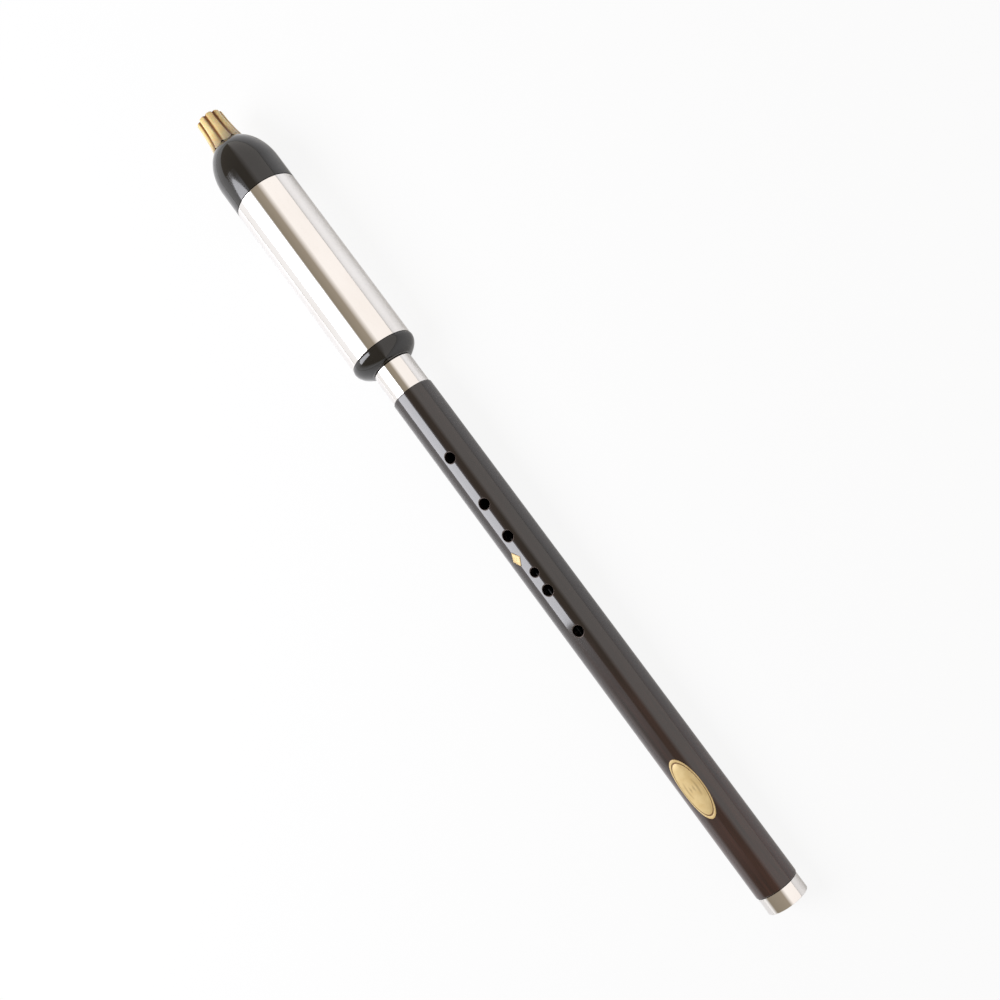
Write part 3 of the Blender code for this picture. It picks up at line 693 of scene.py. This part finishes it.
def hole_cutter(bm, x, diameter, turn, body_r):
    """Round cutter through one wall, widened at the surface by a countersink."""
    radius = diameter / 2
    reach = body_r + CUTTER_REACH
    outline = [(BORE_R / 2, radius), (body_r - HOLE_BEVEL, radius),
               (reach, radius + HOLE_BEVEL + CUTTER_REACH)]
    stand_up = Matrix.Rotation(math.radians(-turn), 4, 'X') @ Matrix.Rotation(-math.pi / 2, 4, 'Y')
    place = Matrix.Translation((x, 0, 0)) @ stand_up
    rings = []
    for height, r in outline:
        ring = []
        for side in range(HOLE_SIDES):
            swing = 2 * math.pi * side / HOLE_SIDES
            ring.append(bm.verts.new(place @ Vector((height, r * math.cos(swing), r * math.sin(swing)))))
        rings.append(ring)
    for here, there in zip(rings, rings[1:]):
        for index in range(HOLE_SIDES):
            bm.faces.new((here[index - 1], here[index], there[index], there[index - 1]))
    bm.faces.new(rings[0])
    bm.faces.new(rings[-1])


def cut_holes(pipe, holes, body_r):
    """Bore the holes and leave the pipe with one plain mesh."""
    bm = bmesh.new()
    for x, diameter, turn in holes:
        hole_cutter(bm, x, diameter, turn, body_r)
    bmesh.ops.recalc_face_normals(bm, faces=bm.faces)
    mesh = bpy.data.meshes.new("hole_cutters")
    bm.to_mesh(mesh)
    bm.free()
    cutter = bpy.data.objects.new("hole_cutters", mesh)
    bpy.context.collection.objects.link(cutter)
    boolean = pipe.modifiers.new("holes", 'BOOLEAN')
    boolean.operation = 'DIFFERENCE'
    boolean.solver = 'EXACT'
    boolean.object = cutter
    bpy.context.view_layer.update()
    ready = pipe.evaluated_get(bpy.context.evaluated_depsgraph_get())
    bored = bpy.data.meshes.new_from_object(ready)
    pipe.modifiers.clear()
    pipe.data = bored
    bpy.data.objects.remove(cutter, do_unlink=True)
    bored.shade_smooth()
    bored.set_sharp_from_angle(angle=SHARP_FROM)
    return bored


def rub_rims(mesh, holes, body_r):
    """Give the countersinks their own rubbed finish."""
    mesh.materials.append(worn_rim())
    reach = HOLE_BEVEL * RIM_REACH
    for face in mesh.polygons:
        distance = math.hypot(face.center.y, face.center.z)
        near = any(abs(face.center.x - x) < diameter / 2 + reach for x, diameter, turn in holes)
        outward = Vector((0, face.center.y, face.center.z)).normalized().dot(face.normal)
        slanted = RIM_FACING[0] < outward < RIM_FACING[1]
        if near and slanted and body_r - reach < distance < body_r:
            face.material_index = len(mesh.materials) - 1


def make_wooden_pipe():
    low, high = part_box("body_tube")
    radius = high[1]
    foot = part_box("foot_ferrule")
    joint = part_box("joint_ferrule")
    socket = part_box("joint_socket")
    foot_r = foot[1][1] - FERRULE_WALL - SEAT_GAP
    joint_r = joint[1][1] - FERRULE_WALL - SEAT_GAP
    socket_r = socket[1][1] + SEAT_GAP
    floor = socket[0][0] - SEAT_GAP
    top, bottom = joint[0][0] - SEAT_GAP, foot[1][0] + SEAT_GAP
    corners = [(low[0], BORE_R, 0), (floor, BORE_R, 0), (floor, socket_r, 0), (high[0], socket_r, 0),
               (high[0], joint_r, 0), (top, joint_r, 0), (top, radius, WOOD_EDGE),
               (bottom, radius, WOOD_EDGE), (bottom, foot_r, 0), (low[0], foot_r, 0)]
    pipe = turned("wooden_pipe", corners, "body_tube")
    end = foot[0][0]
    holes = [(end + distance * MM, diameter * MM, 0) for distance, diameter in FINGER_HOLES]
    holes += [(end + distance * MM, diameter * MM, 180) for distance, diameter in BACK_HOLES]
    rub_rims(cut_holes(pipe, holes, radius), holes, radius)


def make_gold(replaced, name, centre, turn, half_length, half_arc, power, points):
    """Thin gold piece bent round the wood, with a sunk line inside its border."""
    body_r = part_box("body_tube")[1][1]
    low_r = body_r + FOIL_LIFT
    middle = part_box("foot_ferrule")[0][0] + centre * MM
    bm = bmesh.new()

    def point(reach, swing, radius):
        across, up = math.cos(swing), math.sin(swing)
        x = half_length * MM * reach * math.copysign(abs(across) ** (2 / power), across)
        arc = half_arc * MM * reach * math.copysign(abs(up) ** (2 / power), up)
        angle = math.radians(turn) + arc / body_r
        return bm.verts.new((middle + x, math.sin(angle) * radius, math.cos(angle) * radius))

    swings = [2 * math.pi * step / points for step in range(points)]
    loops = [[point(reach, swing, low_r + FOIL_THICKNESS * height) for swing in swings]
             for reach, height in GOLD_RINGS]
    under = [[point(reach, swing, low_r) for swing in swings] for reach, height in reversed(GOLD_RINGS)]
    loops += under
    for here, there in zip(loops, loops[1:]):
        for index in range(points):
            bm.faces.new((here[index - 1], here[index], there[index], there[index - 1]))
    for loop, height in ((loops[0], GOLD_RINGS[0][1]), (loops[-1], 0.0)):
        hub = point(0.0, 0.0, low_r + FOIL_THICKNESS * height)
        for index in range(points):
            bm.faces.new((loop[index - 1], loop[index], hub))
    bmesh.ops.recalc_face_normals(bm, faces=bm.faces)
    add_piece(name, bm, replaced)


def camera_axes():
    """Camera's place and its right, up and back directions, in the instrument's frame."""
    slope, lean, turn = PICTURE_SLOPE, TOWARDS_CAMERA, HOLES_TURNED
    foot = Vector((math.cos(slope) * math.cos(lean), math.sin(slope) * math.cos(lean), -math.sin(lean)))
    side = Vector((math.sin(slope), -math.cos(slope), 0))
    near = foot.cross(side)
    x = -foot
    z = math.cos(turn) * near - math.sin(turn) * side
    y = z.cross(x)
    to_picture = Matrix((x, y, z)).transposed()
    aim = Vector((0, 0, DISTANCE)) + AIM_OFFSET * side
    origin = aim - AIM_ALONG * x
    to_part = to_picture.transposed()
    place = to_part @ (-origin)
    right, down, ahead = (to_part @ Vector(axis) for axis in ((1, 0, 0), (0, 1, 0), (0, 0, 1)))
    return place, right, -down, -ahead


def add_camera():
    place, right, up, back = camera_axes()
    data = bpy.data.cameras.new("photo camera")
    data.lens = LENS
    data.sensor_width = SENSOR
    data.clip_start = CLIP_START
    camera = bpy.data.objects.new("photo_camera", data)
    bpy.context.collection.objects.link(camera)
    camera.matrix_world = Matrix.Translation(place) @ Matrix((right, up, back)).transposed().to_4x4()
    bpy.context.scene.camera = camera


def resting_plane():
    """Height of the floor at x = 0 and its slope, under the ring and the foot."""
    ring_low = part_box("chamber_ring")[0]
    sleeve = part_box("chamber_sleeve")[0]
    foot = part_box("foot_ferrule")[0]
    ring_x = sleeve[0] - SEAT_GAP - RING_CREST
    slope = (ring_low[2] - foot[2]) / (ring_x - foot[0])
    return foot[2] - slope * foot[0], slope


def seen_share(tree, direct, mirrored):
    """A share for rays from the camera and another from mirrors and glass, 0 for rays that only light."""
    ray = node(tree, "ShaderNodeLightPath")
    reflected = math_node(tree, "MAXIMUM", ray.outputs["Is Glossy Ray"],
                          ray.outputs["Is Transmission Ray"])
    return math_node(tree, "MAXIMUM", math_node(tree, "MULTIPLY", ray.outputs["Is Camera Ray"], direct),
                     math_node(tree, "MULTIPLY", reflected, mirrored))


def add_floor():
    height, slope = resting_plane()
    mesh = bpy.data.meshes.new("floor")
    corners = [(x * FLOOR_REACH, y * FLOOR_REACH, height + slope * x * FLOOR_REACH)
               for x, y in ((-1, -1), (1, -1), (1, 1), (-1, 1))]
    mesh.from_pydata(corners, [], [(0, 1, 2, 3)])
    floor = bpy.data.objects.new("studio_floor", mesh)
    bpy.context.collection.objects.link(floor)
    material = bpy.data.materials.new("pale floor")
    material.use_nodes = True
    tree = material.node_tree
    shader = tree.nodes["Principled BSDF"]
    shader.inputs["Base Color"].default_value = (0.93, 0.93, 0.93, 1)
    shader.inputs["Roughness"].default_value = 0.9
    shader.inputs["Specular IOR Level"].default_value = 0.0
    white = node(tree, "ShaderNodeEmission")
    white.inputs["Strength"].default_value = 1.0
    mix = node(tree, "ShaderNodeMixShader")
    tree.links.new(seen_share(tree, *FLOOR_GLOW), mix.inputs[0])
    tree.links.new(shader.outputs[0], mix.inputs[1])
    tree.links.new(white.outputs[0], mix.inputs[2])
    tree.links.new(mix.outputs[0], tree.nodes["Material Output"].inputs["Surface"])
    mesh.materials.append(material)


def add_world():
    """Studio seen in the reflections: pale walls to both sides, darker towards the camera."""
    world = bpy.data.worlds.new("studio")
    bpy.context.scene.world = world
    world.use_nodes = True
    tree = world.node_tree
    back = tree.nodes["Background"]
    place = node(tree, "ShaderNodeTexCoord")
    near = (0.0, -math.sin(HOLES_TURNED), math.cos(HOLES_TURNED))
    side = (0.0, -math.cos(HOLES_TURNED), -math.sin(HOLES_TURNED))
    headward = (1.0, 0.0, 0.0)
    parts = []
    for direction in (side, near, headward):
        dot = node(tree, "ShaderNodeVectorMath", operation="DOT_PRODUCT")
        dot.inputs[1].default_value = direction
        tree.links.new(place.outputs["Generated"], dot.inputs[0])
        parts.append(dot.outputs["Value"])
    angle = math_node(tree, "ARCTAN2", parts[0], parts[1])
    share = math_node(tree, "ADD", math_node(tree, "MULTIPLY", angle, 0.5 / math.pi), 0.5)

    def turn(degrees):
        return 0.5 + degrees / 360

    pale, bright, warm = (0.95, 0.94, 0.94), (1.05, 1.06, 1.10), (1.02, 0.965, 0.925)
    dark, dusk = (0.27, 0.23, 0.175), (0.33, 0.28, 0.22)
    near_side = [(turn(-4), dusk), (turn(14), warm), (turn(88), warm)]
    beside = ramp(tree, share, [(turn(-100), pale), (turn(-34), bright), (turn(-31), dark)] + near_side)
    ahead = ramp(tree, share, [(turn(-100), pale), (turn(-80), pale), (turn(-77), dark)] + near_side)
    behind = ramp(tree, share, [(turn(-100), pale), (turn(-82), dark)] + near_side)
    headend = ramp(tree, parts[2], [(0.468, 0.0), (0.476, 1.0)])
    footward = math_node(tree, "ADD", math_node(tree, "MULTIPLY", parts[2], 0.5), 0.5)
    footend = ramp(tree, footward, [(0.375, 1.0), (0.510, 0.4), (0.516, 0.0)])
    walls = mix_colour(tree, headend, mix_colour(tree, footend, beside, behind), ahead)
    tree.links.new(walls, back.inputs["Color"])
    level = math_node(tree, "ADD", seen_share(tree, 1 - ROOM_LIGHT, 1 - ROOM_LIGHT), ROOM_LIGHT)
    tree.links.new(level, back.inputs["Strength"])


def add_lamp(name, glow, size, turn, distance, along, tint):
    """Area lamp of a given glow that looks at the bore from a turn round it, counted from the camera."""
    data = bpy.data.lights.new(name, "AREA")
    data.shape = "RECTANGLE"
    data.size, data.size_y = size
    data.energy = glow * math.pi * size[0] * size[1]
    data.color = tint
    angle = HOLES_TURNED + math.radians(turn)
    back = Vector((0, -math.sin(angle), math.cos(angle)))
    lamp = bpy.data.objects.new(name, data)
    bpy.context.collection.objects.link(lamp)
    long_side = Vector((1, 0, 0))
    turned_to = Matrix((long_side, back.cross(long_side), back)).transposed().to_4x4()
    lamp.matrix_world = Matrix.Translation(long_side * along + back * distance) @ turned_to


bpy.context.scene.view_settings.view_transform = "Standard"
add_camera()
add_floor()
add_world()
add_lamp("window_lamp", glow=5.5, size=(0.73, 0.76), turn=-59.5, distance=0.9, along=0.305,
         tint=(0.93, 0.94, 1.0))
dress_nodes()
make_sleeve()
make_foot_ferrule()
make_joint_ferrule()
make_ring()
make_dome()
make_mouthpiece()
make_wooden_pipe()
for gold in GOLD_PIECES:
    make_gold(*gold)
